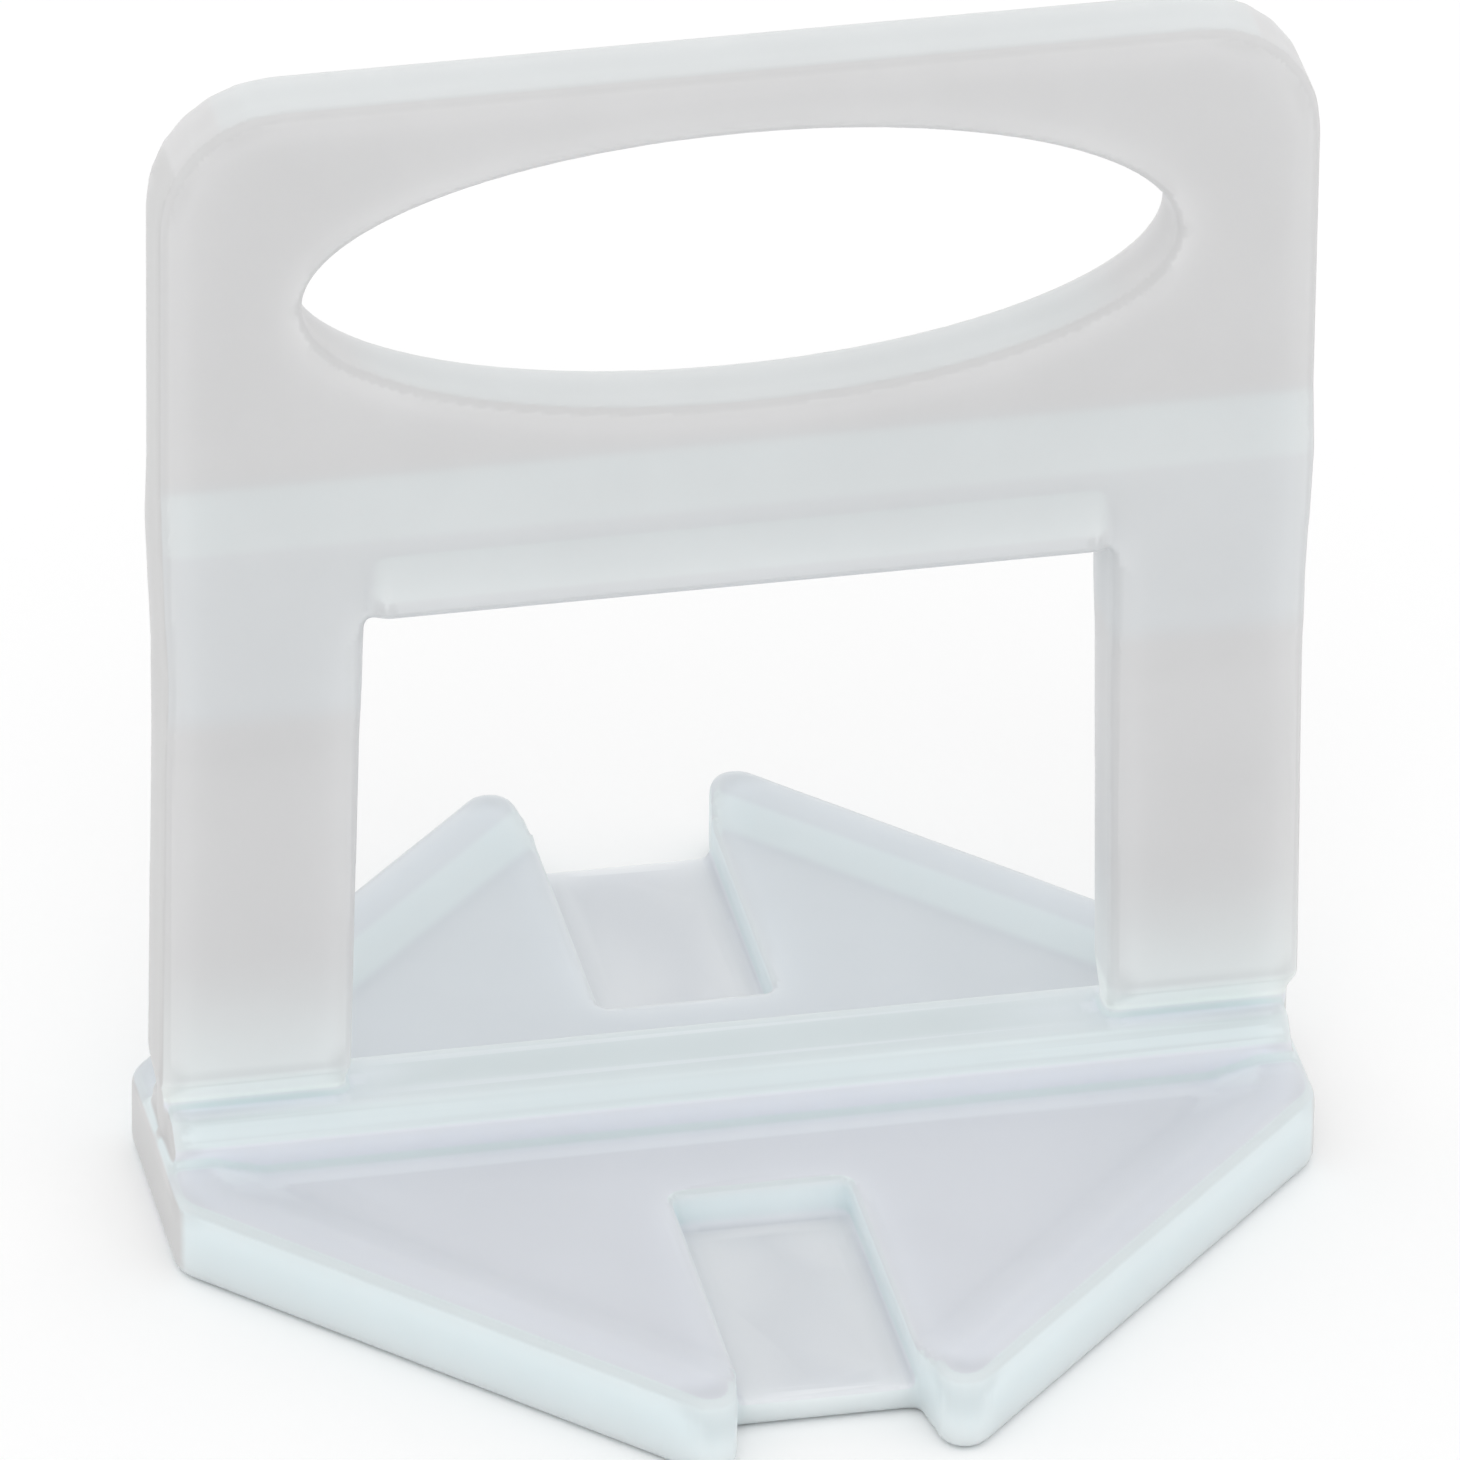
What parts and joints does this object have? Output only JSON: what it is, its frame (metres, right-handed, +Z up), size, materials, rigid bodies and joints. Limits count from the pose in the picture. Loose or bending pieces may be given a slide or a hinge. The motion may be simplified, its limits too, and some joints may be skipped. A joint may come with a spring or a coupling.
{
  "type": "tile levelling clip",
  "caption": "Plastic clip set under the edges of neighbouring tiles, whose window takes a wedge that presses them level and whose thin necks are broken off afterwards.",
  "frame": {"origin": "centre of the underside of the base", "axes": "+Z up through the upright plate towards the finger hole, +X along the plate and the tile joint, +Y across the joint"},
  "size_m": [0.038, 0.0386, 0.0414],
  "materials": {
    "natural_polypropylene": "smooth moulded, semi-gloss, slightly translucent"
  },
  "bodies": {
    "root": {"tile_clip": "natural_polypropylene"}
  },
  "joints": []
}
